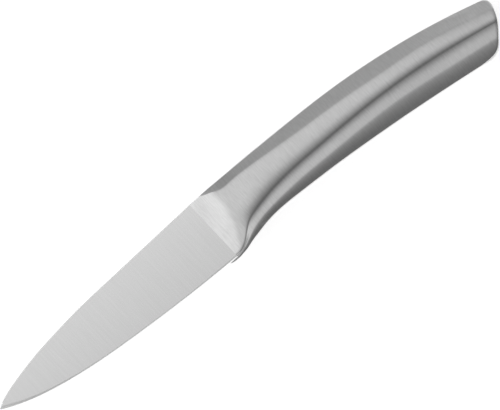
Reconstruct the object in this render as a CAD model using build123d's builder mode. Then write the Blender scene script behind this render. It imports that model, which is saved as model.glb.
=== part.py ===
from build123d import *
import os
from collections import namedtuple
from math import cos, radians, sin, tan

# Paring knife with a hollow stainless handle, lying on its side.
# X runs along the straight blade spine towards the butt, Y towards the spine,
# Z is the thickness. The origin is at the middle of the underside of the box.
# Millimetres and degrees.

os.makedirs("parts", exist_ok=True)

# Overall sizes
blade_length = 87.5
handle_length = 112.5
overall_depth = 31.4
handle_thickness = 14.0

# Blade
blade_height = 22.0
blade_thickness = 2.0
heel_thickness = 0.22
distal_slope_share = 0.11
bevel_angle = 17.0
spine_ease = 0.3
tang_weld_depth = 1.0
tang_clearance = 0.03
tang_relief = 0.1
tang_height = 8.0
tang_drop = 4.0
tang_corner = 1.5

# Handle shells
wall = 1.0
seam_width = 0.6

# Bolster
bolster_length = 11.8
ring_weld_width = 0.6
spigot_length = 5.0
fit_clearance = 0.08
chin_length = 3.0
chin_gap = 0.25
chin_depth = 0.86
chin_nose_drop = 0.12
chin_thickness = 0.9
chin_run_share = (1.0, -0.45)

# Butt and end cap. The butt's outline runs from the spine to the belly through the
# places below: shares of the handle's length ahead of its furthest point, and of the
# height between the spine and belly lines there.
butt_angle = 31.5
butt_corner_share = 0.0222
butt_curve_shares = [(0.0, 0.120), (0.0178, 0.428), (0.0578, 0.805), (0.1004, 0.990)]
butt_heel_share = 0.135
butt_run_shares = [0.6, 0.5]
cap_length = 3.6
cap_weld_width = 0.6
cap_spigot_length = 2.4
overrun = 5.0

# Derived places
overall_length = blade_length + handle_length
half_thickness = handle_thickness / 2
mid_z = half_thickness
tip_x = -overall_length / 2
bolster_x = tip_x + blade_length
butt_x = overall_length / 2
spine_y = overall_depth / 2
ring_x = bolster_x + bolster_length
slot_length = bolster_length + spigot_length
tang_length = slot_length - tang_weld_depth
front_depth = blade_height + chin_depth

# Stations of the handle from the blade joint to past the butt. Places along are
# shares of the handle's length. The spine's drop below the blade's spine is a share
# of the overall depth. The belly's is the depth at the joint plus a share of what
# is left to the overall depth. Places across are shares of the section from spine
# to belly, and rises are shares of the half thickness. The lift is how steeply the
# lobe leaves the crease, as a rise for each unit of run.
Station = namedtuple(
    "Station",
    "along spine belly shoulder crease ridge "
    "shoulder_rise crown_rise crease_rise ridge_rise lift",
)
station_shares = [
    Station(0.000, 0.000, 0.000, 0.012, 0.956, 0.974, 0.155, 0.110, 0.060, 0.072, 0.10),
    Station(0.018, 0.000, -0.015, 0.012, 0.956, 0.972, 0.185, 0.150, 0.103, 0.120, 0.15),
    Station(0.036, 0.000, -0.040, 0.014, 0.932, 0.954, 0.262, 0.250, 0.170, 0.193, 0.15),
    Station(0.053, 0.001, -0.092, 0.040, 0.896, 0.942, 0.390, 0.395, 0.275, 0.305, 0.15),
    Station(0.069, 0.003, -0.136, 0.082, 0.846, 0.926, 0.515, 0.540, 0.394, 0.415, 0.10),
    Station(0.090, 0.007, -0.180, 0.128, 0.782, 0.902, 0.630, 0.675, 0.510, 0.510, -0.05),
    Station(0.122, 0.012, -0.243, 0.140, 0.743, 0.884, 0.740, 0.790, 0.630, 0.592, -0.25),
    Station(0.172, 0.020, -0.280, 0.150, 0.693, 0.872, 0.838, 0.880, 0.711, 0.627, -0.40),
    Station(0.256, 0.038, -0.210, 0.182, 0.632, 0.833, 0.913, 0.955, 0.796, 0.682, -0.50),
    Station(0.368, 0.066, -0.066, 0.220, 0.601, 0.811, 0.954, 0.992, 0.857, 0.742, -0.50),
    Station(0.508, 0.112, 0.165, 0.236, 0.554, 0.775, 0.956, 0.992, 0.877, 0.752, -0.50),
    Station(0.648, 0.186, 0.437, 0.246, 0.512, 0.745, 0.948, 0.985, 0.887, 0.748, -0.50),
    Station(0.788, 0.290, 0.750, 0.222, 0.488, 0.744, 0.893, 0.930, 0.835, 0.687, -0.50),
    Station(0.913, 0.412, 1.044, 0.240, 0.482, 0.738, 0.815, 0.850, 0.778, 0.653, -0.42),
    Station(1.040, 0.560, 1.324, 0.250, 0.480, 0.735, 0.698, 0.730, 0.680, 0.575, -0.35),
]

# The section's own shares: slopes of facet, crease, lobe and belly as a fall for
# each unit of run, and the corners between facet or belly and the side walls.
facet_fall_share = 0.68
crown_place_share = 0.27
leave_fall_share = 0.3
crease_fall_share = 0.5
ridge_fall_share = 0.16
belly_leave_share = 0.28
belly_fall_share = 0.4
keel_fall_share = 0.52
corner_share = 0.1
bulge_share = 0.04
hollow_step_share = 0.01
thin_wall_share = 0.2

# Chords that each curve of a section is drawn with, from spine to belly
wall_chords = 2
corner_chords = 2
flank_chords = 8
lobe_chords = 4
belly_chords = 3

# The blade's outline: spine curve from where it leaves the straight to the tip,
# then the cutting edge back to the heel, as shares of its length and height.
spine_curve_shares = [(0.503, 0.0), (0.359, 0.023), (0.215, 0.074), (0.108, 0.147), (0.0, 0.297)]
edge_curve_shares = [
    (0.0, 0.297),
    (0.108, 0.492),
    (0.215, 0.620),
    (0.359, 0.740),
    (0.575, 0.857),
    (0.790, 0.944),
    (1.0, 1.0),
]
spine_tip_run_share = (-1.0, -0.8)
spine_zone_share = 0.25


def spine_drop(station):
    """How far the handle's spine lies below the blade's spine at a station."""
    return station.spine * overall_depth


def belly_drop(station):
    """How far the handle's belly lies below the blade's spine at a station."""
    return front_depth + station.belly * (overall_depth - front_depth)


def section_plane(station):
    """The plane across the handle at a station, local x towards the spine."""
    x = bolster_x + station.along * handle_length
    return Plane(origin=(x, 0, mid_z), x_dir=(0, 1, 0), z_dir=(1, 0, 0))


def section_points(station):
    """Corner points of half a section above the mid plane, from spine to belly.

    They are the wall's foot and top, the facet's roll and shoulder, the flank's
    crown, the crease, the lobe's ridge, the belly's keel and the low wall.
    """
    top = spine_y - spine_drop(station)
    low = spine_y - belly_drop(station)
    height = top - low
    crown_place = station.shoulder + crown_place_share * (station.crease - station.shoulder)
    shoulder_z = station.shoulder_rise * half_thickness
    ridge_z = station.ridge_rise * half_thickness
    roll_z = shoulder_z - facet_fall_share * station.shoulder * height
    keel_z = ridge_z - belly_fall_share * (1 - station.ridge) * height
    roll_corner = corner_share * roll_z
    keel_corner = corner_share * keel_z
    return [
        (top, 0),
        (top - bulge_share * roll_z, roll_z - roll_corner),
        (top - roll_corner, roll_z),
        (top - station.shoulder * height, shoulder_z),
        (top - crown_place * height, station.crown_rise * half_thickness),
        (top - station.crease * height, station.crease_rise * half_thickness),
        (top - station.ridge * height, ridge_z),
        (low + keel_corner, keel_z),
        (low + bulge_share * keel_z, keel_z - keel_corner),
        (low, 0),
    ]


def outer_section(station):
    """One half of the handle's section above the mid plane, in short chords."""
    foot, wall_top, roll, shoulder, crown, crease, ridge, keel, wall_low, end = section_points(
        station
    )
    facet = (shoulder[0] - roll[0], shoulder[1] - roll[1])
    crease_fall = (-1, -crease_fall_share)
    keel_fall = (-1, -keel_fall_share)
    lean = (-bulge_share, 1)
    with BuildLine():
        curves = [
            (Spline(foot, wall_top, tangents=[(0, 1), lean]), wall_chords),
            (Spline(wall_top, roll, tangents=[lean, facet]), corner_chords),
            (Line(roll, shoulder), 1),
            (
                Spline(shoulder, crown, crease, tangents=[(-1, leave_fall_share), crease_fall]),
                flank_chords,
            ),
            (
                Spline(crease, ridge, tangents=[(-1, station.lift), (-1, -ridge_fall_share)]),
                lobe_chords,
            ),
            (Spline(ridge, keel, tangents=[(-1, -belly_leave_share), keel_fall]), belly_chords),
            (Spline(keel, wall_low, tangents=[keel_fall, (-bulge_share, -1)]), corner_chords),
            (Spline(wall_low, end, tangents=[(-bulge_share, -1), (0, -1)]), wall_chords),
        ]
    points = []
    for curve, chords in curves:
        points += [curve @ (chord / chords) for chord in range(chords)]
    with BuildSketch(section_plane(station)) as section:
        with BuildLine():
            Polyline(*[(point.X, point.Y) for point in points], end, close=True)
        make_face()
    return section.sketch


def hollow_section(station, inset):
    """Half the section of the hollow, straight between the outer corner points."""
    points = section_points(station)
    height = points[0][0] - points[-1][0]
    middle = (points[0][0] + points[-1][0]) / 2
    squeeze = (height - 2 * inset) / height
    inner = [
        (middle + (y - middle) * squeeze, max(z - inset, thin_wall_share * z))
        for y, z in points
        if (y, z) not in (points[1], points[-2])
    ]
    with BuildSketch(section_plane(station)) as section:
        with BuildLine():
            Polyline(*inner, close=True)
        make_face()
    return section.sketch


def station_at(along):
    """The handle's station at a share of its length, between its two neighbours."""
    behind = [station for station in station_shares if station.along > along][0]
    ahead = [station for station in station_shares if station.along <= along][-1]
    part = (along - ahead.along) / (behind.along - ahead.along)
    return Station(*[first + part * (last - first) for first, last in zip(ahead, behind)])


def place_on_blade(share):
    """A point of the blade's outline from its shares of length and height."""
    return (tip_x + share[0] * blade_length, spine_y - share[1] * blade_height)


def across(normal, origin):
    """A plane square to the sheet through a point, facing along normal."""
    return Plane(origin=(*origin, mid_z), x_dir=(0, 0, 1), z_dir=(*normal, 0))


def turned(angle):
    """A unit direction in the sheet, at an angle from X."""
    return (cos(radians(angle)), sin(radians(angle)))


def step(start, direction, distance):
    """The point at a distance from start along a direction in the sheet."""
    return (start[0] + direction[0] * distance, start[1] + direction[1] * distance)


# The butt's outline: one rounded curve that leaves the spine line at a tight corner,
# slants forward and runs into the belly line.
last = station_shares[-1]
before = station_shares[-2]
end_run = (last.along - before.along) * handle_length
before_x = bolster_x + before.along * handle_length
spine_fall = (spine_drop(last) - spine_drop(before)) / end_run
belly_fall = (belly_drop(last) - belly_drop(before)) / end_run
butt_out = turned(-butt_angle)


def butt_point(ahead, down):
    """A point by its shares ahead of the butt and down from spine to belly line."""
    x = butt_x - ahead * handle_length
    top = spine_y - spine_drop(before) - (x - before_x) * spine_fall
    low = spine_y - belly_drop(before) - (x - before_x) * belly_fall
    return (x, top + down * (low - top))


butt_start = butt_point(butt_corner_share, 0)
butt_curve = [butt_point(ahead, down) for ahead, down in butt_curve_shares]
butt_end = butt_point(butt_heel_share, 1)


def butt_plane(distance):
    """The slanted plane through the butt's furthest point, moved ahead by a distance."""
    return across(butt_out, step(butt_curve[0], butt_out, -distance))


def ring_plane(distance):
    """The plane across the handle at a distance behind the ring weld's middle."""
    return across((1, 0), (ring_x + distance, 0))


seam_plane = Plane.XY.offset(mid_z + seam_width / 2)
mid_plane = Plane.XY.offset(mid_z)

# The handle's outer form and its hollow, as halves above the mid plane

with BuildPart() as half_form:
    loft(sections=[outer_section(station) for station in station_shares])
    with BuildSketch(mid_plane):
        with BuildLine():
            Spline(
                butt_start,
                *butt_curve,
                butt_end,
                tangents=[(1, -spine_fall), (-1, belly_fall)],
                tangent_scalars=butt_run_shares,
            )
            Polyline(
                butt_end,
                (butt_end[0], spine_y - belly_drop(last) - overrun),
                (butt_x + end_run, spine_y - belly_drop(last) - overrun),
                (butt_x + end_run, butt_start[1] + overrun),
                (butt_start[0], butt_start[1] + overrun),
                butt_start,
            )
        make_face()
    extrude(amount=handle_thickness, mode=Mode.SUBTRACT)

# The hollow starts in the bolster, one ring weld ahead of where the shells begin.
hollow_start = (bolster_length - ring_weld_width) / handle_length
hollow_stations = [station_at(hollow_start)]
for station in station_shares:
    if station.along > hollow_start + hollow_step_share:
        hollow_stations.append(station)

with BuildPart() as half_cavity:
    loft(sections=[hollow_section(station, wall) for station in hollow_stations])

with BuildPart() as half_spigot:
    loft(sections=[hollow_section(station, wall + fit_clearance) for station in hollow_stations])

# Blade: full flat grind from the spine, a narrow bevel along the edge, a stub tang

flank_fall = (blade_thickness - heel_thickness) / 2 / blade_height
flank_normal = (-distal_slope_share * flank_fall, -flank_fall, 1)
bevel_shift = blade_thickness / 2 / tan(radians(bevel_angle))
heel = place_on_blade(edge_curve_shares[-1])
spine_leave = place_on_blade(spine_curve_shares[0])
tang_middle_y = spine_y - tang_drop - tang_height / 2


def flank_plane(clearance):
    """The flat of the blade's upper flank, moved out by a clearance."""
    origin = (bolster_x, spine_y, mid_z + blade_thickness / 2 + clearance)
    return Plane(origin=origin, x_dir=(0, 1, flank_fall), z_dir=flank_normal)


def edge_region(height, shift):
    """The sheet above the cutting edge moved towards the spine by shift."""
    points = [place_on_blade(share) for share in edge_curve_shares]
    points = [(x, y + shift) for x, y in points]
    above = spine_y + blade_height
    with BuildSketch(Plane.XY.offset(mid_z + height)) as region:
        with BuildLine():
            Spline(*points)
            Polyline(points[-1], (points[-1][0], above), (points[0][0], above), points[0])
        make_face()
    return region.sketch


def is_spine_rim(edge):
    """Whether an edge of the flank runs along the blade's spine."""
    middle = edge.center()
    ahead_of_bolster = middle.X < (spine_leave[0] + bolster_x) / 2
    return ahead_of_bolster and middle.Y > spine_y - spine_zone_share * blade_height


with BuildPart() as half_tang:
    with BuildSketch(mid_plane):
        with Locations((bolster_x + tang_length / 2, tang_middle_y)):
            Rectangle(tang_length, tang_height)
    extrude(amount=blade_thickness)
    tang_end = half_tang.edges().filter_by(Axis.Z).group_by(Axis.X)[-1]
    fillet(tang_end, tang_corner)
    split(bisect_by=flank_plane(-tang_relief), keep=Keep.BOTTOM)

with BuildPart() as blade:
    with BuildSketch(mid_plane):
        with BuildLine():
            spine_curve = [place_on_blade(share) for share in spine_curve_shares]
            Spline(*spine_curve, tangents=[(-1, 0), spine_tip_run_share])
            Spline(*[place_on_blade(share) for share in edge_curve_shares])
            Polyline(heel, (bolster_x, spine_y), spine_leave)
        make_face()
    extrude(amount=blade_thickness)
    loft(
        sections=[edge_region(0, 0), edge_region(blade_thickness / 2, bevel_shift)],
        ruled=True,
        mode=Mode.INTERSECT,
    )
    split(bisect_by=flank_plane(0), keep=Keep.BOTTOM)
    flank = blade.faces().sort_by(Axis.Z)[-1]
    spine_rim = flank.edges().filter_by(is_spine_rim)
    chamfer(spine_rim, spine_ease)
    add(half_tang.part)
    mirror(about=mid_plane)
blade.part.label = "blade"
export_step(blade.part, "parts/blade.step")

# Bolster: solid front of the handle with the scoop that runs into the blade, a
# slot for the tang, a spigot inside the shells and a small chin under the heel

with BuildPart() as spigot:
    add(half_spigot.part)
    split(bisect_by=ring_plane(-ring_weld_width / 2), keep=Keep.TOP)
    split(bisect_by=ring_plane(spigot_length), keep=Keep.BOTTOM)

chin_top_y = heel[1] - chin_gap
chin_low_y = spine_y - front_depth

slot_side = flank_plane(tang_clearance - tang_relief)

with BuildPart() as bolster:
    add(half_form.part)
    split(bisect_by=ring_plane(-ring_weld_width / 2), keep=Keep.BOTTOM)
    add(spigot.part)
    with BuildSketch(mid_plane):
        with BuildLine():
            nose = (bolster_x - chin_length, chin_top_y - chin_nose_drop)
            root_x = bolster_x + chin_length / 2
            Spline(nose, (bolster_x, chin_low_y), tangents=[chin_run_share, (1, 0)])
            Polyline((bolster_x, chin_low_y), (root_x, chin_top_y), (bolster_x, chin_top_y), nose)
        make_face()
    extrude(amount=chin_thickness / 2)
    with BuildSketch(mid_plane):
        with Locations((bolster_x + slot_length / 2, tang_middle_y)):
            Rectangle(slot_length, tang_height + 2 * tang_clearance)
    slot = extrude(amount=blade_thickness, mode=Mode.PRIVATE)
    slot = split(slot, bisect_by=slot_side, keep=Keep.BOTTOM, mode=Mode.PRIVATE)
    add(slot, mode=Mode.SUBTRACT)
    mirror(about=mid_plane)
bolster.part.label = "bolster"
export_step(bolster.part, "parts/bolster.step")

with BuildPart() as tang_weld:
    with BuildSketch(mid_plane):
        with Locations((bolster_x + slot_length - tang_weld_depth / 2, tang_middle_y)):
            Rectangle(tang_weld_depth, tang_height + 2 * tang_clearance)
    extrude(amount=blade_thickness)
    split(bisect_by=slot_side, keep=Keep.BOTTOM)
    mirror(about=mid_plane)
tang_weld.part.label = "tang_weld"
export_step(tang_weld.part, "parts/tang_weld.step")

# Handle shells: two pressed halves that meet the bolster, the end cap and each
# other at flush welds

with BuildPart() as half_wall:
    add(half_form.part)
    add(half_cavity.part, mode=Mode.SUBTRACT)

with BuildPart() as half_tube:
    add(half_wall.part)
    split(bisect_by=ring_plane(ring_weld_width / 2), keep=Keep.TOP)
    split(bisect_by=butt_plane(cap_length + cap_weld_width), keep=Keep.BOTTOM)

with BuildPart() as handle_shell_left:
    add(half_tube.part)
    split(bisect_by=seam_plane, keep=Keep.TOP)
handle_shell_left.part.label = "handle_shell_left"
export_step(handle_shell_left.part, "parts/handle_shell_left.step")

with BuildPart() as handle_shell_right:
    add(handle_shell_left.part.mirror(mid_plane))
handle_shell_right.part.label = "handle_shell_right"
export_step(handle_shell_right.part, "parts/handle_shell_right.step")

with BuildPart() as seam_welds:
    add(half_tube.part)
    split(bisect_by=seam_plane, keep=Keep.BOTTOM)
    mirror(about=mid_plane)
spine_seam_weld = seam_welds.part.solids().sort_by(Axis.Y)[-1]
belly_seam_weld = seam_welds.part.solids().sort_by(Axis.Y)[0]
spine_seam_weld.label = "spine_seam_weld"
belly_seam_weld.label = "belly_seam_weld"
export_step(spine_seam_weld, "parts/spine_seam_weld.step")
export_step(belly_seam_weld, "parts/belly_seam_weld.step")

with BuildPart() as ring_weld:
    add(half_wall.part)
    split(bisect_by=ring_plane(-ring_weld_width / 2), keep=Keep.TOP)
    split(bisect_by=ring_plane(ring_weld_width / 2), keep=Keep.BOTTOM)
    mirror(about=mid_plane)
ring_weld.part.label = "ring_weld"
export_step(ring_weld.part, "parts/ring_weld.step")

with BuildPart() as cap_weld:
    add(half_wall.part)
    split(bisect_by=butt_plane(cap_length + cap_weld_width), keep=Keep.TOP)
    split(bisect_by=butt_plane(cap_length), keep=Keep.BOTTOM)
    mirror(about=mid_plane)
cap_weld.part.label = "cap_weld"
export_step(cap_weld.part, "parts/cap_weld.step")

# End cap: solid plug that closes the butt, with its own spigot inside the shells

with BuildPart() as cap_spigot:
    add(half_spigot.part)
    split(bisect_by=butt_plane(cap_length + cap_weld_width + cap_spigot_length), keep=Keep.TOP)
    split(bisect_by=butt_plane(cap_length), keep=Keep.BOTTOM)

with BuildPart() as end_cap:
    add(half_form.part)
    split(bisect_by=butt_plane(cap_length), keep=Keep.TOP)
    add(cap_spigot.part)
    mirror(about=mid_plane)
end_cap.part.label = "end_cap"
export_step(end_cap.part, "parts/end_cap.step")
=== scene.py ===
"""Looks of a paring knife with a hollow stainless handle, lying on its side.

X runs along the straight blade spine towards the butt, Y towards the spine and Z up
through the knife's thickness. Sizes are written in millimetres and turned to metres by
MM where they reach a mesh, a lamp or a texture.
"""

import logging
import math
from bisect import bisect_right
from dataclasses import dataclass, field, fields
from enum import Enum

import bmesh
import bpy
from mathutils import Matrix, Vector


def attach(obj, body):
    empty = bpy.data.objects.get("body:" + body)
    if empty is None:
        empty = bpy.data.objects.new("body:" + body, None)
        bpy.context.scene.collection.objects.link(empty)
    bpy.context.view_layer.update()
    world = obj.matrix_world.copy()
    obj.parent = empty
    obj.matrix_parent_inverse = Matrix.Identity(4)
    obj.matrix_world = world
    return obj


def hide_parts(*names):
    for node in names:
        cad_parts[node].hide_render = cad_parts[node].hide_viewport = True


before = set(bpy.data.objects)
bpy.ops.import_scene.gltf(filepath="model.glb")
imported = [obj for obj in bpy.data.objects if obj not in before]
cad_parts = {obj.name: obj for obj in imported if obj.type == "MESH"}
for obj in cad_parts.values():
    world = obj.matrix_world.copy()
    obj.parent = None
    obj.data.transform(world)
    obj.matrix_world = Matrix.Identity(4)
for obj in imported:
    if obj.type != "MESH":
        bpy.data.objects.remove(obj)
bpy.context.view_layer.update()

Form = bmesh.types.BMesh
Vertex = bmesh.types.BMVert
Tree = bpy.types.NodeTree
Node = bpy.types.Node
Socket = bpy.types.NodeSocket

MM = 0.001
BODY = "root"
CUT_TOLERANCE_M = 1e-7
QUARTER_TURN = 0.25
STREAK_SPAN = {"From Min": 0.3, "From Max": 0.7}
log = logging.getLogger("paring_knife")


class Side(Enum):
    """The two halves of the knife, by the sign of Z from the mid plane."""

    LEFT = 1
    RIGHT = -1


class Seam(Enum):
    """The two lines where the shells meet, by the sign of Y from the section's middle."""

    SPINE = 1
    BELLY = -1


class Spline:
    """A smooth curve of one value through given places, with given or free end slopes."""

    def __init__(self, places: list[float], values: list[float],
                 slopes: tuple[float, float] | None = None) -> None:
        """Work out the second derivative at each place.

        Args:
            places: Rising places along the curve.
            values: The value at each place.
            slopes: Slope at the first and the last place, or None to leave both free.
        """
        self.places = places
        self.values = values
        count = len(places)
        gaps = [places[i + 1] - places[i] for i in range(count - 1)]
        rates = [(values[i + 1] - values[i]) / gaps[i] for i in range(count - 1)]
        below, middle, above, right = [0.0] * count, [1.0] * count, [0.0] * count, [0.0] * count
        if slopes:
            middle[0], above[0], right[0] = 2 * gaps[0], gaps[0], 6 * (rates[0] - slopes[0])
            below[-1], middle[-1] = gaps[-1], 2 * gaps[-1]
            right[-1] = 6 * (slopes[1] - rates[-1])
        for i in range(1, count - 1):
            below[i], middle[i], above[i] = gaps[i - 1], 2 * (gaps[i - 1] + gaps[i]), gaps[i]
            right[i] = 6 * (rates[i] - rates[i - 1])
        for i in range(1, count):
            factor = below[i] / middle[i - 1]
            middle[i] -= factor * above[i - 1]
            right[i] -= factor * right[i - 1]
        self.bends = [0.0] * count
        self.bends[-1] = right[-1] / middle[-1]
        for i in range(count - 2, -1, -1):
            self.bends[i] = (right[i] - above[i] * self.bends[i + 1]) / middle[i]

    def at(self, place: float) -> float:
        """Return the value at a place, carried on past the ends.

        Args:
            place: Place along the curve.

        Returns:
            The value there.
        """
        last = len(self.places) - 2
        i = min(max(bisect_right(self.places, place) - 1, 0), last)
        gap = self.places[i + 1] - self.places[i]
        ahead = (place - self.places[i]) / gap
        back = 1 - ahead
        bend = (back ** 3 - back) * self.bends[i] + (ahead ** 3 - ahead) * self.bends[i + 1]
        return back * self.values[i] + ahead * self.values[i + 1] + bend * gap * gap / 6


class Arch:
    """A plane curve through points, leaving the first and reaching the last one in
    given directions."""

    def __init__(self, points: list[Vector], start: Vector, end: Vector) -> None:
        """Fit one spline to each coordinate.

        Args:
            points: Two or more points.
            start: Direction in which the curve leaves the first point.
            end: Direction in which it reaches the last point.
        """
        places = [0.0]
        for first, second in zip(points, points[1:]):
            places.append(places[-1] + (second - first).length)
        self.length = places[-1]
        start = start.normalized()
        end = end.normalized()
        self.across = Spline(places, [p.x for p in points], (start.x, end.x))
        self.rise = Spline(places, [p.y for p in points], (start.y, end.y))

    def at(self, share: float) -> Vector:
        """Return the point at a share of the curve's length."""
        place = share * self.length
        return Vector((self.across.at(place), self.rise.at(place)))


@dataclass(frozen=True)
class KnifeSizes:
    """Main sizes of the knife, in millimetres."""

    blade_length: float = 87.5
    handle_length: float = 112.5
    overall_depth: float = 31.4
    handle_thickness: float = 14.0
    blade_height: float = 22.0
    chin_depth: float = 0.86
    bolster_length: float = 11.8
    weld_width: float = 0.6
    cap_length: float = 3.6
    cap_spigot_length: float = 2.4
    spigot_length: float = 5.0
    butt_angle: float = 31.5
    wall: float = 1.0
    fit_clearance: float = 0.08
    chin_length: float = 3.0
    chin_gap: float = 0.25
    chin_nose_drop: float = 0.12
    chin_thickness: float = 0.9

    @property
    def half_thickness(self) -> float:
        """Height of the mid plane over the floor."""
        return self.handle_thickness / 2

    @property
    def spine_y(self) -> float:
        """Place of the straight blade spine."""
        return self.overall_depth / 2

    @property
    def butt_x(self) -> float:
        """Place of the furthest point of the butt."""
        return (self.blade_length + self.handle_length) / 2

    @property
    def bolster_x(self) -> float:
        """Place of the line where the blade meets the bolster."""
        return self.butt_x - self.handle_length

    @property
    def ring_x(self) -> float:
        """Place of the weld between bolster and shells."""
        return self.bolster_x + self.bolster_length

    @property
    def front_depth(self) -> float:
        """Depth of the handle at the blade joint."""
        return self.blade_height + self.chin_depth


@dataclass(frozen=True)
class Station:
    """The handle's section at one place.

    Along is a share of the handle's length. Spine is the spine's drop as a share of
    the overall depth, and belly a share of what the depth still gains behind the joint.
    The places are shares of the section from spine to belly, and the rises are shares
    of the half thickness. The lift is how steeply the lobe leaves the crease.
    """

    along: float
    spine: float
    belly: float
    shoulder: float
    crease: float
    ridge: float
    shoulder_rise: float
    crown_rise: float
    crease_rise: float
    ridge_rise: float
    lift: float


STATION_SHARES = [
    Station(0.000, 0.000, 0.000, 0.012, 0.956, 0.974, 0.155, 0.110, 0.060, 0.072, 0.10),
    Station(0.018, 0.000, -0.015, 0.012, 0.956, 0.972, 0.185, 0.150, 0.103, 0.120, 0.15),
    Station(0.036, 0.000, -0.040, 0.018, 0.932, 0.954, 0.262, 0.250, 0.170, 0.193, 0.15),
    Station(0.053, 0.001, -0.092, 0.052, 0.896, 0.942, 0.390, 0.395, 0.275, 0.305, 0.15),
    Station(0.069, 0.003, -0.136, 0.082, 0.846, 0.926, 0.515, 0.540, 0.400, 0.392, -0.05),
    Station(0.090, 0.007, -0.180, 0.128, 0.782, 0.902, 0.630, 0.675, 0.530, 0.470, -0.30),
    Station(0.122, 0.012, -0.243, 0.140, 0.743, 0.884, 0.740, 0.790, 0.645, 0.562, -0.45),
    Station(0.172, 0.020, -0.280, 0.150, 0.702, 0.872, 0.838, 0.880, 0.711, 0.617, -0.50),
    Station(0.256, 0.038, -0.210, 0.182, 0.640, 0.833, 0.913, 0.955, 0.796, 0.682, -0.50),
    Station(0.368, 0.066, -0.066, 0.220, 0.601, 0.806, 0.954, 0.992, 0.857, 0.742, -0.50),
    Station(0.508, 0.112, 0.165, 0.236, 0.554, 0.765, 0.956, 0.992, 0.877, 0.752, -0.50),
    Station(0.648, 0.186, 0.437, 0.246, 0.512, 0.737, 0.948, 0.985, 0.887, 0.748, -0.50),
    Station(0.788, 0.290, 0.750, 0.222, 0.488, 0.744, 0.893, 0.930, 0.835, 0.687, -0.50),
    Station(0.913, 0.412, 1.044, 0.240, 0.482, 0.738, 0.815, 0.850, 0.778, 0.653, -0.42),
    Station(1.040, 0.560, 1.324, 0.250, 0.480, 0.735, 0.698, 0.730, 0.680, 0.575, -0.35),
]


@dataclass(frozen=True)
class Span:
    """One stretch across a section: how many steps it has and how far they crowd
    towards its start, from below 1, or towards its end, from above 1."""

    steps: int
    crowding: float = 1.0

    def shares(self) -> list[float]:
        """Return the places of the steps' ends, without the start.

        Returns:
            Shares of the stretch, rising to one.
        """
        if self.crowding >= 1:
            return [1 - (1 - i / self.steps) ** self.crowding for i in range(1, self.steps + 1)]
        return [(i / self.steps) ** (1 / self.crowding) for i in range(1, self.steps + 1)]


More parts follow.
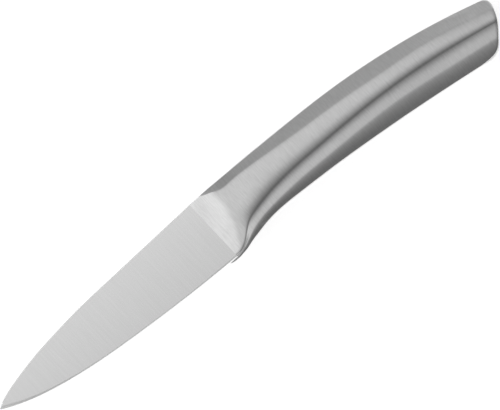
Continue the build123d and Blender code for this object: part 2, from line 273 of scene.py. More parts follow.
@dataclass
class HandleForm:
    """The outer form of bolster, shells and end cap together: sections between the
    stations, ended by a butt with a rounded outline and a rounded rim."""

    sizes: KnifeSizes
    facet_fall: float = 0.68
    crown_place_share: float = 0.27
    leave_fall: float = 0.3
    crease_fall: float = 0.57
    ridge_fall: float = 0.16
    belly_leave: float = 0.28
    belly_fall: float = 0.4
    keel_fall: float = 0.52
    corner_share: float = 0.1
    bulge_share: float = 0.04
    front_step: float = 0.22
    rear_step: float = 0.8
    front_reach: float = 16.0
    ease_start: float = 0.053
    ease_end: float = 0.122
    crease_hold: float = 0.12
    crease_dip: float = 0.2
    dip_width: float = 0.8
    facet_bow: float = 0.12
    bow_reach: float = 0.3
    butt_rows_x: float = 83.5
    butt_rows: int = 16
    rim: float = 0.8
    rim_run: float = 0.12
    outline_steps: int = 120
    search_margin: float = 2.0
    search_halvings: int = 20
    mirror_tolerance: float = 0.0001
    merge_tolerance: float = 0.0005
    thin_tolerance: float = 0.0002
    sections: dict[float, list[Vector]] = field(default_factory=dict)
    butt_start_x: float = 98.2
    butt_end_x: float = 84.8
    butt_tail: tuple[float, float] = (100.0, -2.5)
    butt_points: tuple[tuple[float, float], ...] = (
        (100.0, -1.55), (99.42, -4.7), (97.75, -8.2), (94.75, -12.0), (92.0, -14.78), (88.9, -15.72),
    )

    def __post_init__(self) -> None:
        """Fit the splines along the handle and the butt's outline."""
        self.spans = {
            "wall": Span(4), "roll": Span(5), "facet": Span(12, 0.5), "flank": Span(40, 1.2),
            "lobe": Span(18), "belly": Span(14, 2), "keel": Span(5), "low_wall": Span(4),
        }
        places = [station.along for station in STATION_SHARES]
        self.lines = {
            item.name: Spline(places, [getattr(station, item.name) for station in STATION_SHARES])
            for item in fields(Station)
        }
        points = [Vector((self.butt_start_x, self.edges(self.butt_start_x)[0]))]
        points += [Vector(point) for point in self.butt_points]
        points.append(Vector((self.butt_end_x, self.edges(self.butt_end_x)[1])))
        start = Vector((1, -self.fall("spine", self.butt_start_x)))
        end = Vector((-1, self.fall("belly", self.butt_end_x)))
        outline = Arch(points, start, end)
        steps = self.outline_steps
        self.outline = [outline.at(i / steps) for i in range(steps + 1)]

    def station(self, x: float) -> Station:
        """Return the section's station at a place along X."""
        along = (x - self.sizes.bolster_x) / self.sizes.handle_length
        return Station(**{name: line.at(along) for name, line in self.lines.items()})

    def edges(self, x: float) -> tuple[float, float]:
        """Return Y of the spine and of the belly.

        Args:
            x: Place along the handle.

        Returns:
            The two places, the spine's first.
        """
        sizes = self.sizes
        station = self.station(x)
        drop = sizes.front_depth + station.belly * (sizes.overall_depth - sizes.front_depth)
        return sizes.spine_y - station.spine * sizes.overall_depth, sizes.spine_y - drop

    def fall(self, edge: str, x: float) -> float:
        """Return how far the spine or the belly falls over one millimetre of X.

        Args:
            edge: Either spine or belly.
            x: Middle of that millimetre.

        Returns:
            The fall of Y.
        """
        which = 0 if edge == "spine" else 1
        half_run = 0.5
        return self.edges(x - half_run)[which] - self.edges(x + half_run)[which]

    def section(self, x: float) -> list[Vector]:
        """Return half a section above the mid plane, from spine to belly.

        Args:
            x: Place along the handle.

        Returns:
            Points whose x is Y in the knife and whose y is the height over the mid plane.
        """
        station = self.station(x)
        top, low = self.edges(x)
        height = top - low
        half = self.sizes.half_thickness
        ease = (station.along - self.ease_start) / (self.ease_end - self.ease_start)
        ease = min(max(ease, 0), 1)
        bow = self.facet_bow * max(1 - station.along / self.bow_reach, 0)
        dip = self.crease_dip * (1 - ease)
        crown_place = station.shoulder + self.crown_place_share * (station.crease - station.shoulder)
        shoulder_z = station.shoulder_rise * half
        ridge_z = station.ridge_rise * half
        roll_z = shoulder_z - self.facet_fall * station.shoulder * height
        keel_z = ridge_z - self.belly_fall * (1 - station.ridge) * height
        roll_corner = self.corner_share * roll_z
        keel_corner = self.corner_share * keel_z
        start = Vector((top, 0))
        wall_top = Vector((top - self.bulge_share * roll_z, roll_z - roll_corner))
        roll = Vector((top - roll_corner, roll_z))
        shoulder = Vector((top - station.shoulder * height, shoulder_z))
        crown = Vector((top - crown_place * height, station.crown_rise * half))
        crease = Vector((top - station.crease * height, station.crease_rise * half - dip))
        ridge = Vector((top - station.ridge * height, ridge_z))
        keel = Vector((low + keel_corner, keel_z))
        wall_low = Vector((low + self.bulge_share * keel_z, keel_z - keel_corner))
        end = Vector((low, 0))
        facet = shoulder - roll
        lean = Vector((-self.bulge_share, 1))
        low_lean = Vector((-self.bulge_share, -1))
        outer_facet = facet + Vector((0, bow * facet.x))
        inner_facet = facet - Vector((0, bow * facet.x))
        leave_run = Vector((-1, self.leave_fall * ease))
        hold = self.crease_hold + (1 - self.crease_hold) * ease
        crease_run = Vector((-1, -self.crease_fall * hold))
        keel_run = Vector((-1, -self.keel_fall))
        curves = {
            "wall": Arch([start, wall_top], Vector((0, 1)), lean),
            "roll": Arch([wall_top, roll], lean, outer_facet),
            "facet": Arch([roll, shoulder], outer_facet, inner_facet),
            "flank": Arch([shoulder, crown, crease + Vector((0, dip))], leave_run, crease_run),
            "lobe": Arch([crease, ridge], Vector((-1, station.lift)), Vector((-1, -self.ridge_fall))),
            "belly": Arch([ridge, keel], Vector((-1, -self.belly_leave)), keel_run),
            "keel": Arch([keel, wall_low], keel_run, low_lean),
            "low_wall": Arch([wall_low, end], low_lean, Vector((0, -1))),
        }
        points = [start]
        for name, span in self.spans.items():
            points += [curves[name].at(share) for share in span.shares()]
        for point in points:
            ahead = (point.x - crease.x) / self.dip_width
            if 0 <= ahead < 1:
                point.y -= dip * (1 - ahead) ** 2
        return points

    def rows(self) -> list[float]:
        """Return where the rows lie that run square across the handle.

        Returns:
            Places along X, close together at the front and wider apart behind.
        """
        places = [self.sizes.bolster_x]
        while places[-1] < self.butt_rows_x - self.rear_step:
            behind = places[-1] - self.sizes.bolster_x
            share = min(behind / self.front_reach, 1) ** 2
            places.append(places[-1] + self.front_step + share * (self.rear_step - self.front_step))
        return places

    def near_outline(self, spot: Vector) -> tuple[float, Vector, float]:
        """Find the nearest place on the butt's outline.

        Args:
            spot: Point in plan.

        Returns:
            How far the point lies inside, the outward direction and the outline's share.
        """
        best = None
        for i, (first, second) in enumerate(zip(self.outline, self.outline[1:])):
            run = second - first
            share = min(max((spot - first).dot(run) / run.length_squared, 0), 1)
            away = spot - (first + run * share)
            if best is None or away.length_squared < best[0].length_squared:
                best = (away, run, (i + share) / (len(self.outline) - 1))
        away, run, share = best
        out = Vector((-run.y, run.x)).normalized()
        inside = -math.copysign(away.length, away.dot(out))
        return inside, out, share

    def height_at(self, spot: Vector) -> float:
        """Return the form's height over the mid plane.

        Args:
            spot: Point in plan.

        Returns:
            The height there, or zero outside the section.
        """
        points = self.section(spot.x)
        for first, second in zip(points, points[1:]):
            if second.x <= spot.y < first.x:
                share = (spot.y - first.x) / (second.x - first.x)
                return first.y + share * (second.y - first.y)
        return 0.0

    def rim_profile(self, x: float, column: int) -> list[Vector]:
        """Return the wall and the rounded rim below the end of one column.

        Args:
            x: Place where the column ends at the rim.
            column: Number of the column.

        Returns:
            Points from the mid plane up to the rim's inner line.
        """
        top = self.section_point(x, column)
        plan = Vector((x, top.x))
        inside, out, _ = self.near_outline(plan)
        slope = (self.height_at(plan - out * self.rim) - top.y) / self.rim
        wall_top = Vector((self.bulge_share / self.corner_share * inside, top.y - inside))
        lean = Vector((self.bulge_share, 1))
        curves = {
            "wall": Arch([Vector((0, 0)), wall_top], Vector((0, 1)), lean),
            "roll": Arch([wall_top, Vector((inside, top.y))], lean, Vector((1, slope))),
        }
        points = [Vector((0, 0))]
        for name, curve in curves.items():
            points += [curve.at(share) for share in self.spans[name].shares()]
        tip = plan + out * inside
        return [Vector((*(tip - out * point.x), point.y)) for point in points]

    def column_ends(self, first: int, last: int) -> list[float]:
        """Return where each column of a section ends at the rim's inner line.

        Args:
            first: Last column that belongs to the spine's wall and its rounded edge.
            last: First column of the belly's rounded edge and wall.

        Returns:
            Places along X.
        """
        start, end = self.outline[0].x, self.outline[-1].x
        corners = [self.edges(x)[side] - self.section_point(x, column).x
                   for x, side, column in ((start, 0, first), (end, 1, last))]
        ends = [start] * (first + 1)
        for column in range(first + 1, last):
            near, far = self.butt_rows_x, self.sizes.butt_x + self.search_margin
            for _ in range(self.search_halvings):
                middle = (near + far) / 2
                plan = Vector((middle, self.section_point(middle, column).x))
                inside, _, share = self.near_outline(plan)
                full = min(share / self.rim_run, (1 - share) / self.rim_run, 1)
                corner = abs(corners[0] if share < 0.5 else corners[1])
                if inside > corner + full * (self.rim - corner):
                    near = middle
                else:
                    far = middle
            ends.append(near)
        return ends + [end] * (len(self.section(start)) - last)

    def section_point(self, x: float, index: int) -> Vector:
        """Return one point of a section, worked out once for each place.

        Args:
            x: Place along the handle.
            index: Number of the column.

        Returns:
            The point, as section gives it.
        """
        key = round(x, 6)
        if key not in self.sections:
            self.sections[key] = self.section(x)
        return self.sections[key][index]

    def build(self) -> Form:
        """Build the closed outer form.

        Returns:
            A mesh in metres, in the knife's own place.
        """
        places = self.rows()
        columns = sum(span.steps for span in self.spans.values()) + 1
        levels = self.spans["wall"].steps + self.spans["roll"].steps
        first, last = levels, columns - 1 - levels
        ends = self.column_ends(first, last)
        profiles = {j: self.rim_profile(ends[j], j) for j in range(first + 1, last)}
        butt_shares = [i / self.butt_rows for i in range(1, self.butt_rows + 1)]
        count = 1 + len(places) + len(butt_shares) + levels
        log.info("handle form of %d rows and %d columns", count, columns)

        def on_section(x: float, column: int) -> Vector:
            """Return a column's point at a place along X."""
            point = self.section_point(x, column)
            return Vector((x, point.x, point.y))

        def spot(row: int, column: int) -> Vector:
            """Return the place of one vertex of the grid.

            Args:
                row: Its row: the front's edge, square rows, butt rows, then the rim's.
                column: Its column, from spine to belly.

            Returns:
                The place, with Z over the mid plane.
            """
            if row == 0:
                return Vector((*on_section(places[0], column).xy, 0))
            row -= 1
            if row < len(places):
                return on_section(places[row], column)
            row -= len(places)
            if row < len(butt_shares):
                x = places[-1] + butt_shares[row] * (ends[column] - places[-1])
                return on_section(x, column)
            level = levels - 1 - (row - len(butt_shares))
            if column <= first:
                return on_section(ends[column], min(column, level))
            if column >= last:
                return on_section(ends[column], max(column, columns - 1 - level))
            return profiles[column][level]

        form = bmesh.new()
        bmesh.ops.create_grid(form, x_segments=count - 1, y_segments=columns - 1, size=0.5)
        for vertex in form.verts:
            row = round((vertex.co.x + 0.5) * (count - 1))
            column = round((vertex.co.y + 0.5) * (columns - 1))
            vertex.co = spot(row, column)
        bmesh.ops.mirror(form, geom=form.verts[:] + form.edges[:] + form.faces[:],
                         axis="Z", merge_dist=self.mirror_tolerance)
        bmesh.ops.translate(form, verts=form.verts, vec=(0, 0, self.sizes.half_thickness))
        bmesh.ops.remove_doubles(form, verts=form.verts, dist=self.merge_tolerance)
        bmesh.ops.dissolve_degenerate(form, edges=form.edges, dist=self.thin_tolerance)
        bmesh.ops.recalc_face_normals(form, faces=form.faces)
        bmesh.ops.scale(form, verts=form.verts, vec=(MM, MM, MM))
        return form


def linear(hex_colour: str) -> tuple[float, float, float, float]:
    """Turn an sRGB hex colour to linear values.

    Args:
        hex_colour: Six hex digits with a leading #.

    Returns:
        Red, green, blue and alpha as linear values.
    """
    values = [int(hex_colour[i:i + 2], 16) / 255 for i in (1, 3, 5)]
    curve = [v / 12.92 if v <= 0.04045 else ((v + 0.055) / 1.055) ** 2.4 for v in values]
    return (*curve, 1.0)


def add_node(tree: Tree, kind: str, settings: dict | None = None,
             links: dict | None = None) -> Node:
    """Add one node with its settings and its incoming links.

    Args:
        tree: Node tree that takes the node.
        kind: Name of the node's type, without the ShaderNode prefix.
        settings: Properties by name, or socket values by socket name or number.
        links: Outgoing sockets by the name or number of this node's input.

    Returns:
        The new node.
    """
    node = tree.nodes.new("ShaderNode" + kind)
    for name, value in (settings or {}).items():
        if isinstance(name, int) or name in node.inputs:
            node.inputs[name].default_value = value
        else:
            setattr(node, name, value)
    for name, socket in (links or {}).items():
        tree.links.new(socket, node.inputs[name])
    return node


def mask_below(tree: Tree, value: Socket, limit: float,
               softness: float) -> Socket:
    """Add a smooth step that is one below a limit and zero above it.

    Args:
        tree: Node tree that takes the nodes.
        value: Socket that is compared.
        limit: Value at the middle of the step.
        softness: Width of the step.

    Returns:
        The socket of the step.
    """
    span = {"From Min": limit + softness / 2, "From Max": limit - softness / 2}
    step = add_node(tree, "MapRange", {"interpolation_type": "SMOOTHSTEP", **span}, {0: value})
    return step.outputs[0]


def mix_values(tree: Tree, mask: Socket | float, low: object,
               high: object, kind: str = "FLOAT") -> Socket:
    """Add a mix of two values or colours, each a constant or a socket.

    Args:
        tree: Node tree that takes the node.
        mask: Share of the second one.
        low: First value or colour.
        high: Second value or colour.
        kind: FLOAT or RGBA.

    Returns:
        The mixed socket.
    """
    mix = add_node(tree, "Mix", {"data_type": kind})
    places = {"FLOAT": (0, 2, 3, 0), "RGBA": (0, 6, 7, 2)}[kind]
    for place, value in zip(places, (mask, low, high)):
        if isinstance(value, Socket):
            tree.links.new(value, mix.inputs[place])
        else:
            mix.inputs[place].default_value = value
    return mix.outputs[places[3]]


@dataclass(frozen=True)
class Grind:
    """How one zone of a steel surface was ground: its two tones, its roughness and the
    depth of its scratches in millimetres."""

    dark: str
    light: str
    roughness: float
    depth: float


@dataclass(frozen=True)
class BrushedSteel:
    """Stainless steel ground in lines square to the knife's length: grey, with fine
    streaks across, and a blur that is long along the knife and short along the lines."""

    name: str
    ground: Grind
    pitch: float
    length: float
    blur: float

    def tone(self, tree: Tree, place: Node,
             streaks: Socket) -> Socket:
        """Return how far the colour lies between the dark and the light tone."""
        return add_node(tree, "MapRange", STREAK_SPAN, {0: streaks}).outputs[0]

    def zone(self, tree: Tree,
             place: Node) -> tuple[Socket, Grind] | None:
        """Return the mask of a second zone and its grind, or None for one zone only."""
        return None

    def build(self) -> bpy.types.Material:
        """Build the material.

        Returns:
            The finished material.
        """
        material = bpy.data.materials.new(self.name)
        material.use_nodes = True
        tree = material.node_tree
        tree.nodes.clear()
        place = add_node(tree, "TexCoord")
        scale = (1 / (self.pitch * MM), 1 / (self.length * MM), 1 / (self.length * MM))
        stretch = add_node(tree, "Mapping", {"Scale": scale}, {"Vector": place.outputs["Object"]})
        streaks = add_node(tree, "TexNoise", {"Scale": 1.0, "Detail": 3.0, "Roughness": 0.65},
                           {"Vector": stretch.outputs["Vector"]})
        tone = self.tone(tree, place, streaks.outputs["Fac"])
        grind = self.ground
        colour = mix_values(tree, tone, linear(grind.dark), linear(grind.light), "RGBA")
        roughness = grind.roughness
        depth = grind.depth * MM
        # The second zone carries painted light: the bolster scoop's painted sheen and the blade
        # bevel's painted highlight
        zone = self.zone(tree, place)
        if zone:
            mask, other = zone
            second = mix_values(tree, tone, linear(other.dark), linear(other.light), "RGBA")
            colour = mix_values(tree, mask, colour, second, "RGBA")
            roughness = mix_values(tree, mask, roughness, other.roughness)
            depth = mix_values(tree, mask, depth, other.depth * MM)
        bump = add_node(tree, "Bump", {"Strength": 1.0}, {"Height": streaks.outputs["Fac"]})
        tangent = add_node(tree, "Tangent", {"direction_type": "RADIAL", "axis": "X"})
        shader = add_node(
            tree, "BsdfPrincipled",
            {"Metallic": 1.0, "Anisotropic": self.blur, "Anisotropic Rotation": QUARTER_TURN},
            {"Base Color": colour, "Normal": bump.outputs["Normal"],
             "Tangent": tangent.outputs["Tangent"]},
        )
        for node, name, value in ((bump, "Distance", depth), (shader, "Roughness", roughness)):
            if isinstance(value, Socket):
                tree.links.new(value, node.inputs[name])
            else:
                node.inputs[name].default_value = value
        add_node(tree, "OutputMaterial", {}, {"Surface": shader.outputs["BSDF"]})
        return material


@dataclass(frozen=True)
class ScoopedSteel(BrushedSteel):
    """Brushed steel whose scoop is smoother, polished finer on a wheel, and painted lighter up to a
    soft curved line: a painted sheen for the light the scoop catches."""

    scoop: Grind
    edge_x: float
    middle_y: float
    bend: float
    softness: float

    def zone(self, tree: Tree,
             place: Node) -> tuple[Socket, Grind]:
        """Mask the scoop, which gets the painted sheen, by x plus bend times the square of y's
        distance.

        Args:
            tree: Takes the nodes.
            place: Texture coordinates.

        Returns:
            The mask and the scoop's grind, lighter by painted sheen.
        """
        parts = add_node(tree, "SeparateXYZ", {}, {0: place.outputs["Object"]})
        off = add_node(tree, "Math", {"operation": "SUBTRACT", 1: self.middle_y * MM},
                       {0: parts.outputs["Y"]})
        square = add_node(tree, "Math", {"operation": "MULTIPLY"},
                          {0: off.outputs[0], 1: off.outputs[0]})
        bent = add_node(tree, "Math", {"operation": "MULTIPLY_ADD", 1: self.bend / MM},
                        {0: square.outputs[0], 2: parts.outputs["X"]})
        mask = mask_below(tree, bent.outputs[0], self.edge_x * MM, self.softness * MM)
        # Painted sheen: the scoop's lighter tones stand in for the light its concave face catches
        return mask, self.scoop


@dataclass(frozen=True)
class EdgedSteel(BrushedSteel):
    """Brushed steel with a coarser cutting bevel that carries a painted highlight, near white, and a
    flat with a painted sheen that lightens it towards the spine and darkens it a little towards the
    edge."""

    bevel: Grind
    flat_rise: float
    edge_y: float
    spine_y: float
    # Share of the painted sheen ramp in the flat's tone
    fade: float
    lean_softness: float = 0.01

    def tone(self, tree: Tree, place: Node,
             streaks: Socket) -> Socket:
        """Mix the streaks' tone with a painted sheen, a tone that rises from the edge to the spine.

        Args:
            tree: Takes the nodes.
            place: Texture coordinates.
            streaks: Socket of the streaks' noise.

        Returns:
            The socket of the tone.
        """
        fine = super().tone(tree, place, streaks)
        parts = add_node(tree, "SeparateXYZ", {}, {0: place.outputs["Object"]})
        span = {"From Min": self.edge_y * MM, "From Max": self.spine_y * MM}
        # Painted sheen: a ramp across Y that makes the flat darker at the edge and lighter at the
        # spine, for the light on a slightly rounded grind
        fall = add_node(tree, "MapRange", span, {0: parts.outputs["Y"]})
        return mix_values(tree, self.fade, fine, fall.outputs[0])

    def zone(self, tree: Tree,
             place: Node) -> tuple[Socket, Grind]:
        """Mask the faces whose normal leans away from Z, the bevel among them, which get the painted
        highlight.

        Args:
            tree: Takes the nodes.
            place: Texture coordinates.

        Returns:
            The mask and the bevel's grind with its painted highlight.
        """
        parts = add_node(tree, "SeparateXYZ", {}, {0: place.outputs["Normal"]})
        rise = add_node(tree, "Math", {"operation": "ABSOLUTE"}, {0: parts.outputs["Z"]})
        # Painted highlight: every leaning face takes the near-white bevel tone
        return mask_below(tree, rise.outputs[0], self.flat_rise, self.lean_softness), self.bevel


@dataclass(frozen=True)
class Cut:
    """A plane that cuts away what lies on the side its normal points to."""

    place: Vector
    normal: Vector

    def apply(self, form: Form) -> None:
        """Cut a mesh by the plane.

        Args:
            form: Mesh that is cut, in metres.
        """
        geometry = form.verts[:] + form.edges[:] + form.faces[:]
        bmesh.ops.bisect_plane(form, geom=geometry, dist=CUT_TOLERANCE_M, plane_co=self.place * MM,
                               plane_no=self.normal, clear_outer=True)

    def flipped(self) -> "Cut":
        """Return the same plane, cutting away its other side."""
        return Cut(self.place, -self.normal)


def rims(form: Form) -> list[list[bmesh.types.BMEdge]]:
    """Return the open rims of a mesh, each as a list of edges.

    Args:
        form: Open mesh.

    Returns:
        One list of edges for each rim.
    """
    left = {edge for edge in form.edges if edge.is_boundary}
    found = []
    while left:
        waiting = [left.pop()]
        rim = []
        while waiting:
            edge = waiting.pop()
            rim.append(edge)
            for vertex in edge.verts:
                for other in vertex.link_edges:
                    if other in left:
                        left.remove(other)
                        waiting.append(other)
        found.append(rim)
    return found


def finish_piece(form: Form, name: str, material: bpy.types.Material,
                 sharp: float = 40) -> None:
    """Turn a mesh into a finished piece that stands for the CAD node of its name.

    Args:
        form: Mesh in metres, which is freed.
        name: Name of the CAD node.
        material: Its finish.
        sharp: Angle in degrees past which an edge shows as sharp.
    """
    bmesh.ops.recalc_face_normals(form, faces=form.faces)
    mesh = bpy.data.meshes.new(name + "_look")
    form.to_mesh(mesh)
    form.free()
    mesh.shade_smooth()
    mesh.set_sharp_from_angle(angle=math.radians(sharp))
    mesh.materials.append(material)
    piece = bpy.data.objects.new(name + "_look", mesh)
    bpy.context.scene.collection.objects.link(piece)
    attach(piece, BODY)
    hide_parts(name)
    log.info("%s has %d faces", name, len(mesh.polygons))


@dataclass
class Handle:
    """Bolster, shells, welds and end cap, all cut from one outer form."""

    sizes: KnifeSizes
    outer: HandleForm
    steel: bpy.types.Material
    bolster_steel: bpy.types.Material
    slot: str = "handle_steel"
    chin_steps: int = 16
    chin_rows: int = 6
    chin_run: tuple[float, float] = (1, -0.45)
    chin_bluntness: int = 4
    chin_least_share: float = 0.04

    def ring_cut(self, distance: float) -> Cut:
        """Return the plane behind the ring weld's middle, cutting away what is behind."""
        return Cut(Vector((self.sizes.ring_x + distance, 0, 0)), Vector((1, 0, 0)))

    def butt_cut(self, distance: float) -> Cut:
        """Return the slanted plane ahead of the butt, cutting away what is behind.

        Args:
            distance: How far ahead of the butt it lies.

        Returns:
            The cut.
        """
        turn = math.radians(self.sizes.butt_angle)
        out = Vector((math.cos(turn), -math.sin(turn), 0))
        tail = Vector((*self.outer.butt_tail, 0))
        return Cut(tail - out * distance, out)

    def seam_cut(self, side: Side) -> Cut:
        """Return the plane at a shell's seam, cutting away what lies past the seam."""
        height = self.sizes.half_thickness + side.value * self.sizes.weld_width / 2
        return Cut(Vector((0, 0, height)), Vector((0, 0, -side.value)))

    def inner(self, spot: Vector, inset: float) -> Vector:
        """Return a point of the outer form drawn in towards the section's middle.

        Args:
            spot: Point of the outer form, in metres.
            inset: How far it is drawn in at the section's widest, in millimetres.

        Returns:
            The point further in, in metres.
        """
        x = spot.x / MM
        top, low = self.outer.edges(x)
        middle = Vector((x, (top + low) / 2, self.sizes.half_thickness))
        half_depth = (top - low) / 2
        half_rise = self.outer.station(x).crown_rise * self.sizes.half_thickness
        offset = spot / MM - middle
        offset.y *= 1 - inset / half_depth
        offset.z *= 1 - inset / half_rise
        return (middle + offset) * MM

    def part(self, whole: Form, *cuts: Cut) -> Form:
        """Cut a piece out of the whole form.

        Args:
            whole: The outer form, which stays as it is.
            cuts: Planes that bound the piece.

        Returns:
            The piece as a new mesh, open at the cuts.
        """
        form = whole.copy()
        for cut in cuts:
            cut.apply(form)
        return form

    def walled(self, form: Form) -> Form:
        """Give an open form an inner surface and join the two along the rims.

        Args:
            form: Open outer surface, in metres.

        Returns:
            The same mesh with its wall.
        """
        outer_rims = rims(form)
        copied = bmesh.ops.duplicate(form, geom=form.verts[:] + form.edges[:] + form.faces[:])
        for item in copied["geom"]:
            if isinstance(item, Vertex):
                item.co = self.inner(item.co, self.sizes.wall)
        for rim in outer_rims:
            pair = rim + [copied["edge_map"][edge] for edge in rim]
            bmesh.ops.bridge_loops(form, edges=pair)
        return form

    def plugged(self, form: Form, length: float,
                way: Vector) -> Form:
        """Add a flat face and a spigot that fits inside the shells.

        The faces that the spigot grows from stay inside the mesh.

        Args:
            form: Surface with one open rim, in metres.
            length: Length of the spigot in millimetres.
            way: Direction in which it grows.

        Returns:
            The same mesh with its spigot.
        """
        bmesh.ops.holes_fill(form, edges=rims(form)[0])
        flat = max(form.faces, key=lambda face: len(face.verts))
        for reach in (0, length):
            grown = bmesh.ops.extrude_face_region(form, geom=[flat])["geom"]
            flat = next(item for item in grown if isinstance(item, bmesh.types.BMFace))
            for vertex in flat.verts:
                if reach:
                    vertex.co += way * reach * MM
                else:
                    vertex.co = self.inner(vertex.co, self.sizes.wall + self.sizes.fit_clearance)
        return form

    def chin(self) -> Form:
        """Build the small chin that runs ahead under the blade's heel.

        Returns:
            A mesh in metres.
        """
        sizes = self.sizes
        heel_y = sizes.spine_y - sizes.blade_height
        nose = Vector((sizes.bolster_x - sizes.chin_length,
                       heel_y - sizes.chin_gap - sizes.chin_nose_drop))
        root = Vector((sizes.bolster_x + sizes.chin_length / 2, sizes.spine_y - sizes.front_depth))
        low = Arch([nose, Vector((sizes.bolster_x, root.y)), root], Vector(self.chin_run),
                   Vector((1, 0)))
        form = bmesh.new()
        bmesh.ops.create_grid(form, x_segments=self.chin_steps, y_segments=self.chin_rows, size=0.5)
        for vertex in form.verts:
            along = vertex.co.x + 0.5
            spot = low.at(along)
            top = heel_y - sizes.chin_gap
            up = vertex.co.y + 0.5
            fullness = max(1 - (1 - along) ** self.chin_bluntness, self.chin_least_share)
            narrow = math.sqrt(fullness) * (1 + up) / 2
            depth = narrow * sizes.chin_thickness / 2
            place = Vector((spot.x, spot.y + up * (top - spot.y), sizes.half_thickness - depth))
            vertex.co = place * MM
        grown = bmesh.ops.extrude_face_region(form, geom=form.faces[:])["geom"]
        for item in grown:
            if isinstance(item, Vertex):
                item.co.z = 2 * sizes.half_thickness * MM - item.co.z
        return form

    def build(self) -> None:
        """Build and finish the eight pieces."""
        sizes = self.sizes
        half_weld = sizes.weld_width / 2
        whole = self.outer.build()
        front = self.ring_cut(-half_weld)
        behind = self.ring_cut(half_weld)
        cap_front = self.butt_cut(sizes.cap_length + sizes.weld_width)
        cap = self.butt_cut(sizes.cap_length)

        bolster = self.plugged(self.part(whole, front), sizes.spigot_length, front.normal)
        chin = self.chin()
        lump = bpy.data.meshes.new("chin")
        chin.to_mesh(lump)
        chin.free()
        bolster.from_mesh(lump)
        bpy.data.meshes.remove(lump)
        finish_piece(bolster, "bolster", self.bolster_steel)

        ring = self.walled(self.part(whole, front.flipped(), behind))
        finish_piece(ring, "ring_weld", self.steel)
        for side in Side:
            shell = self.part(whole, behind.flipped(), cap_front, self.seam_cut(side))
            name = "handle_shell_" + side.name.lower()
            finish_piece(self.walled(shell), name, self.steel)

        between = [self.seam_cut(side).flipped() for side in Side]
        for seam in Seam:
            strip = self.part(whole, behind.flipped(), cap_front, *between)
            other = [face for face in strip.faces if self.seam_of(face) != seam]
            bmesh.ops.delete(strip, geom=other, context="FACES")
            name = seam.name.lower() + "_seam_weld"
            finish_piece(self.walled(strip), name, self.steel)

        collar = self.walled(self.part(whole, cap_front.flipped(), cap))
        finish_piece(collar, "cap_weld", self.steel)
        reach = sizes.weld_width + sizes.cap_spigot_length
        end = self.plugged(self.part(whole, cap.flipped()), reach, -cap.normal)
        finish_piece(end, "end_cap", self.steel)
        whole.free()

    def seam_of(self, face: bmesh.types.BMFace) -> Seam:
        """Tell which seam a face of the form's thin middle strip belongs to.

        Args:
            face: Face of the strip, in metres.

        Returns:
            The seam.
        """
        middle = face.calc_center_median() / MM
        top, low = self.outer.edges(middle.x)
        return Seam.SPINE if middle.y > (top + low) / 2 else Seam.BELLY


@dataclass(frozen=True)
class Stops:
    """Levels of light at places along one axis of the sky, from minus one to one."""

    axis: str
    levels: tuple[tuple[float, float], ...]

    def add(self, tree: Tree, parts: Node) -> Socket:
        """Add the levels as a ramp.

        Args:
            tree: Node tree of the world.
            parts: Node that holds the three parts of the direction.

        Returns:
            The ramp's socket.
        """
        share = add_node(tree, "MapRange", {"From Min": -1.0, "From Max": 1.0},
                         {0: parts.outputs[self.axis]})
        ramp = add_node(tree, "ValToRGB", {}, {0: share.outputs[0]})
        elements = ramp.color_ramp.elements
        elements.remove(elements[-1])
        for index, (place, level) in enumerate(self.levels):
            stop = elements[0] if index == 0 else elements.new((place + 1) / 2)
            stop.position = (place + 1) / 2
            stop.color = (level, level, level, 1)
        return ramp.outputs[0]


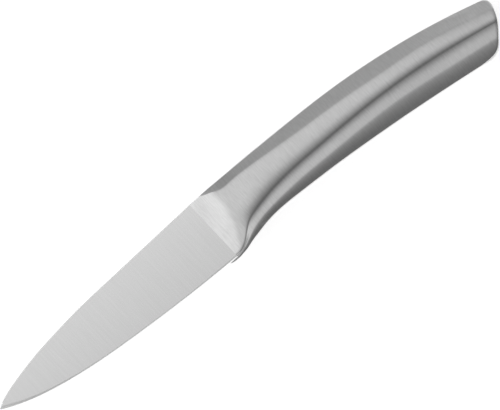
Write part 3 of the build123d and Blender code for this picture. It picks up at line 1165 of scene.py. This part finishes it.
@dataclass(frozen=True)
class Studio:
    """Camera over the knife, plain floor and a sky like a large soft box."""

    aim: tuple[float, float, float] = (1.37, 2.67, 7.0)
    distance: float = 1200.0
    view_width: float = 157.2
    turn: float = 43.0
    sensor: float = 36.0
    floor_size: float = 3000.0
    floor_colour: str = "#f4f4f4"
    floor_glow: float = 0.6
    level: float = 1.55
    overhead: Stops = Stops("Y", (
        (-1.0, 0.09), (-0.85, 0.125), (-0.70, 0.28), (-0.5, 0.48), (-0.25, 0.83), (0.0, 0.98),
        (0.25, 0.95), (0.5, 0.6), (0.7, 0.25), (0.85, 0.0),
    ))
    overhead_along: Stops = Stops("X", (
        (-1.0, 0.85), (-0.7, 0.80), (-0.4, 0.75), (-0.2, 0.78), (-0.05, 0.97), (0.0, 1.0),
        (0.1, 0.82), (0.2, 0.64), (0.3, 0.48), (0.5, 0.26), (1.0, 0.14),
    ))
    side: Stops = Stops("Y", (
        (0.0, 0.0), (0.3, 0.06), (0.5, 0.32), (0.7, 0.54), (0.85, 0.68), (0.93, 0.70),
        (0.97, 0.52), (1.0, 0.27),
    ))
    side_along: Stops = Stops("X", (
        (-1.0, 0.35), (-0.5, 0.4), (-0.3, 0.55), (-0.15, 0.78), (-0.03, 0.9), (0.02, 1.0),
    ))

    def add_camera(self) -> None:
        """Add the camera that looks straight down."""
        scene = bpy.context.scene
        camera = bpy.data.cameras.new("camera")
        camera.type = "PERSP"
        camera.sensor_fit = "HORIZONTAL"
        camera.sensor_width = self.sensor
        camera.lens = self.sensor * self.distance / self.view_width
        camera.clip_end = self.floor_size * MM
        eye = bpy.data.objects.new("camera", camera)
        scene.collection.objects.link(eye)
        turn = math.radians(self.turn)
        right = Vector((math.cos(turn), -math.sin(turn), 0))
        up = Vector((math.sin(turn), math.cos(turn), 0))
        placing = Matrix((right, up, Vector((0, 0, 1)))).transposed().to_4x4()
        placing.translation = (Vector(self.aim) + Vector((0, 0, self.distance))) * MM
        eye.matrix_world = placing
        scene.camera = eye

    def add_floor(self) -> None:
        """Add the pale paper floor, which glows a little towards the camera."""
        form = bmesh.new()
        bmesh.ops.create_grid(form, x_segments=1, y_segments=1, size=self.floor_size * MM / 2)
        mesh = bpy.data.meshes.new("floor")
        form.to_mesh(mesh)
        form.free()
        paper = bpy.data.materials.new("matt_white_paper")
        paper.use_nodes = True
        tree = paper.node_tree
        tree.nodes.clear()
        matt = add_node(tree, "BsdfDiffuse", {"Color": linear(self.floor_colour)})
        path = add_node(tree, "LightPath")
        seen = path.outputs["Is Camera Ray"]
        for kind in ("Is Glossy Ray", "Is Transmission Ray"):
            seen = add_node(tree, "Math", {"operation": "MAXIMUM"},
                            {0: seen, 1: path.outputs[kind]}).outputs[0]
        amount = add_node(tree, "Math", {"operation": "MULTIPLY", 1: self.floor_glow}, {0: seen})
        glow = add_node(tree, "Emission", {}, {"Strength": amount.outputs[0]})
        both = add_node(tree, "AddShader", {}, {0: matt.outputs[0], 1: glow.outputs[0]})
        add_node(tree, "OutputMaterial", {}, {"Surface": both.outputs[0]})
        mesh.materials.append(paper)
        floor = bpy.data.objects.new("floor", mesh)
        bpy.context.scene.collection.objects.link(floor)

    def add_light(self) -> None:
        """Add the sky: a bright overhead part that fades towards the belly and the
        butt, and a dimmer side beyond the spine."""
        world = bpy.data.worlds.new("studio")
        bpy.context.scene.world = world
        world.use_nodes = True
        tree = world.node_tree
        tree.nodes.clear()
        place = add_node(tree, "TexCoord")
        parts = add_node(tree, "SeparateXYZ", {}, {0: place.outputs["Generated"]})
        overhead = add_node(
            tree, "Math", {"operation": "MULTIPLY"},
            {0: self.overhead.add(tree, parts), 1: self.overhead_along.add(tree, parts)})
        level = add_node(tree, "Math", {"operation": "MULTIPLY", 1: self.level},
                         {0: overhead.outputs[0]})
        total = add_node(
            tree, "Math", {"operation": "MULTIPLY_ADD"},
            {0: self.side.add(tree, parts), 1: self.side_along.add(tree, parts),
             2: level.outputs[0]})
        sky = add_node(tree, "Background", {}, {"Strength": total.outputs[0]})
        add_node(tree, "OutputWorld", {}, {"Surface": sky.outputs["Background"]})


# Mid grey with fine lines across the handle, which blur its lights along the length
CROSS_GRIND = Grind(dark="#c7c7c7", light="#d7d7d7", roughness=0.35, depth=0.0013)
HANDLE_STEEL = BrushedSteel(
    "cross_brushed_stainless_steel", CROSS_GRIND, pitch=0.28, length=3.0, blur=0.6)
# The same grey, with a smoother scoop painted lighter, a painted sheen, up to a soft curved line
BOLSTER_STEEL = ScoopedSteel(
    "wheel_polished_steel_painted_scoop_sheen", CROSS_GRIND, pitch=0.28, length=3.0, blur=0.6,
    scoop=Grind(dark="#dddddd", light="#ececec", roughness=0.30, depth=0.0008),
    edge_x=-4.6, middle_y=10.0, bend=0.0245, softness=2.4)
# An even, almost lineless grey with a painted sheen that darkens it a little to the edge, and a
# painted highlight that makes the bevel near white
BLADE_STEEL = EdgedSteel(
    "satin_steel_painted_sheen_and_highlight",
    Grind(dark="#c7c7c7", light="#d6d6d6", roughness=0.25, depth=0.0004),
    pitch=0.35, length=12.0, blur=0.5,
    # Painted highlight: the bevel's near-white tone stands in for the light it catches; only its
    # higher roughness is its own
    bevel=Grind(dark="#fcfcfc", light="#fefefe", roughness=0.6, depth=0.001),
    flat_rise=0.985, edge_y=-6.3, spine_y=15.7, fade=0.7)


def main() -> None:
    """Set the studio, dress the blade and build the handle's pieces."""
    logging.basicConfig(level=logging.INFO, format="%(name)s: %(message)s")
    bpy.context.scene.view_settings.view_transform = "Standard"
    studio = Studio()
    studio.add_camera()
    studio.add_floor()
    studio.add_light()

    handle_steel = HANDLE_STEEL.build()
    dressing = {"blade": BLADE_STEEL.build(), "tang_weld": handle_steel}
    for name, steel in dressing.items():
        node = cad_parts[name]
        node.data.materials.clear()
        node.data.materials.append(steel)
        log.info("dressed %s", name)

    sizes = KnifeSizes()
    Handle(sizes, HandleForm(sizes), handle_steel, BOLSTER_STEEL.build()).build()


if __name__ == "__main__":
    main()
